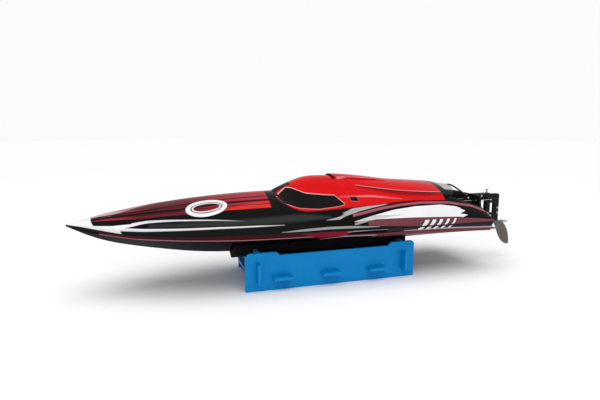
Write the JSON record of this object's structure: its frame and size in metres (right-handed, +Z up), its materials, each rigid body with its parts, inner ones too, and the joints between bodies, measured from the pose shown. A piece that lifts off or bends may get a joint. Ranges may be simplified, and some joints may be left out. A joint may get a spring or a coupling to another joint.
{
  "type": "radio-controlled racing boat",
  "caption": "Radio-controlled deep-V racing boat with lift-off cockpit hatch, stern rudder and propeller drive, resting on a slot-together blue board stand.",
  "frame": {"origin": "centre of the object's footprint box, on the surface the stand rests on", "axes": "+X aft along the boat (bow at -X, propeller at +X), +Y to starboard, +Z up"},
  "size_m": [1.02, 0.2346, 0.2208],
  "materials": {
    "deck_paint": "gloss painted graphics under clear coat",
    "bottom_paint": "gloss black with maroon side band",
    "hatch_paint": "gloss red paint under clear coat",
    "dark_glass": "smoked glossy window panel",
    "black_plastic": "satin black",
    "black_rubber": "soft rubber",
    "foam": "closed-cell foam",
    "blue_board": "satin blue sheet, laser-cut edges",
    "black_anodised": "black anodised",
    "bare_aluminium": "machined",
    "red_anodised": "red anodised water jacket",
    "steel": "ground steel rod",
    "stainless": "dull cut sheet",
    "polished": "polished",
    "brass_tube": "drawn tube",
    "screw_steel": "cap screws",
    "silicone": "dark silicone hose",
    "battery_wrap": "shrink wrap",
    "servo_case": "moulded case",
    "grey_case": "moulded case",
    "lead_red": "silicone insulated leads"
  },
  "bodies": {
    "stand": {"stand_side_port": "blue_board", "stand_side_starboard": "blue_board", "front_cradle": "blue_board", "rear_cradle": "blue_board", "stand_shelf": "blue_board", "foam_bed": "foam"},
    "boat": {"hull_bottom": "bottom_paint", "deck_shell": "deck_paint", "stern_well": "black_plastic", "stern_plate": "black_plastic", "servo_posts": "black_plastic", "tube_support": "black_plastic", "battery_tray": "black_plastic", "seam_strip": "black_rubber", "hatch_seal": "black_rubber", "pushrod_seals": "black_rubber", "battery_straps": "black_rubber", "motor_can": "black_anodised", "rudder_bracket": "black_anodised", "cooling_jacket": "red_anodised", "motor_mount": "bare_aluminium", "shaft_strut": "bare_aluminium", "controller_cooler": "bare_aluminium", "water_inlet": "bare_aluminium", "hose_gland": "bare_aluminium", "hull_screws": "screw_steel", "stuffing_tube": "brass_tube", "rudder_servo": "servo_case", "receiver_lid": "servo_case", "pickup_tube": "steel", "trim_tab_hinges": "steel", "battery_pack_port": "battery_wrap", "battery_pack_starboard": "battery_wrap", "speed_controller": "grey_case", "receiver_box": "grey_case", "power_leads": "lead_red", "stern_hose": "silicone", "inner_hoses": "silicone"},
    "hatch": {"hatch_shell": "hatch_paint", "roof_scoop": "hatch_paint", "side_window_port": "dark_glass", "side_window_starboard": "dark_glass", "windscreen": "dark_glass", "latch_seat": "black_plastic"},
    "latch": {"hatch_latch": "black_plastic"},
    "driveline": {"motor_shaft": "steel", "drive_shaft": "steel", "shaft_coupler": "bare_aluminium", "drive_dog": "bare_aluminium", "propeller": "polished", "propeller_nut": "polished"},
    "servo_arm": {"servo_horn": "black_plastic"},
    "pushrod_port_link": {"pushrod_port": "steel"},
    "pushrod_starboard_link": {"pushrod_starboard": "steel"},
    "rudder": {"rudder_holder": "black_anodised", "rudder_pin": "steel", "rudder_blade": "stainless", "rudder_screws": "screw_steel"},
    "port_tab": {"trim_tab_port": "stainless"},
    "starboard_tab": {"trim_tab_starboard": "stainless"}
  },
  "joints": [
    {"name": "boat_lift", "type": "slide", "parent": "stand", "child": "boat", "axis": [0, 0, 1], "range_m": [0, 0.12]},
    {"name": "hatch_lift", "type": "slide", "parent": "boat", "child": "hatch", "axis": [0, 0, 1], "range_m": [0, 0.1]},
    {"name": "latch_turn", "type": "hinge", "parent": "hatch", "child": "latch", "pos_m": [0.262, 0, 0.19], "axis": [0, 0, 1], "range_deg": [0, 90]},
    {"name": "propeller_spin", "type": "hinge", "parent": "boat", "child": "driveline", "pos_m": [0.49, 0, 0.083], "axis": [0.9997, 0, -0.0262], "continuous": true},
    {"name": "servo_turn", "type": "hinge", "parent": "boat", "child": "servo_arm", "pos_m": [0.225, -0.04, 0.15], "axis": [0, 0, 1], "range_deg": [-30, 30]},
    {"name": "pushrod_port_pivot", "type": "hinge", "parent": "servo_arm", "child": "pushrod_port_link", "pos_m": [0.225, -0.054, 0.1525], "axis": [0, 0, 1], "range_deg": [-30, 30]},
    {"name": "pushrod_starboard_pivot", "type": "hinge", "parent": "servo_arm", "child": "pushrod_starboard_link", "pos_m": [0.225, -0.026, 0.1525], "axis": [0, 0, 1], "range_deg": [-30, 30]},
    {"name": "rudder_turn", "type": "hinge", "parent": "boat", "child": "rudder", "pos_m": [0.408, -0.04, 0.13], "axis": [0, 0, 1], "range_deg": [-30, 30]},
    {"name": "port_tab_hinge", "type": "hinge", "parent": "boat", "child": "port_tab", "pos_m": [0.3816, -0.072, 0.091], "axis": [0, 1, 0], "range_deg": [-6, 6]},
    {"name": "starboard_tab_hinge", "type": "hinge", "parent": "boat", "child": "starboard_tab", "pos_m": [0.3816, 0.072, 0.091], "axis": [0, 1, 0], "range_deg": [-6, 6]}
  ],
  "couplings": [
    {"joint": "servo_turn", "follows": "rudder_turn", "ratio": 1},
    {"joint": "pushrod_port_pivot", "follows": "rudder_turn", "ratio": -1},
    {"joint": "pushrod_starboard_pivot", "follows": "rudder_turn", "ratio": -1}
  ]
}
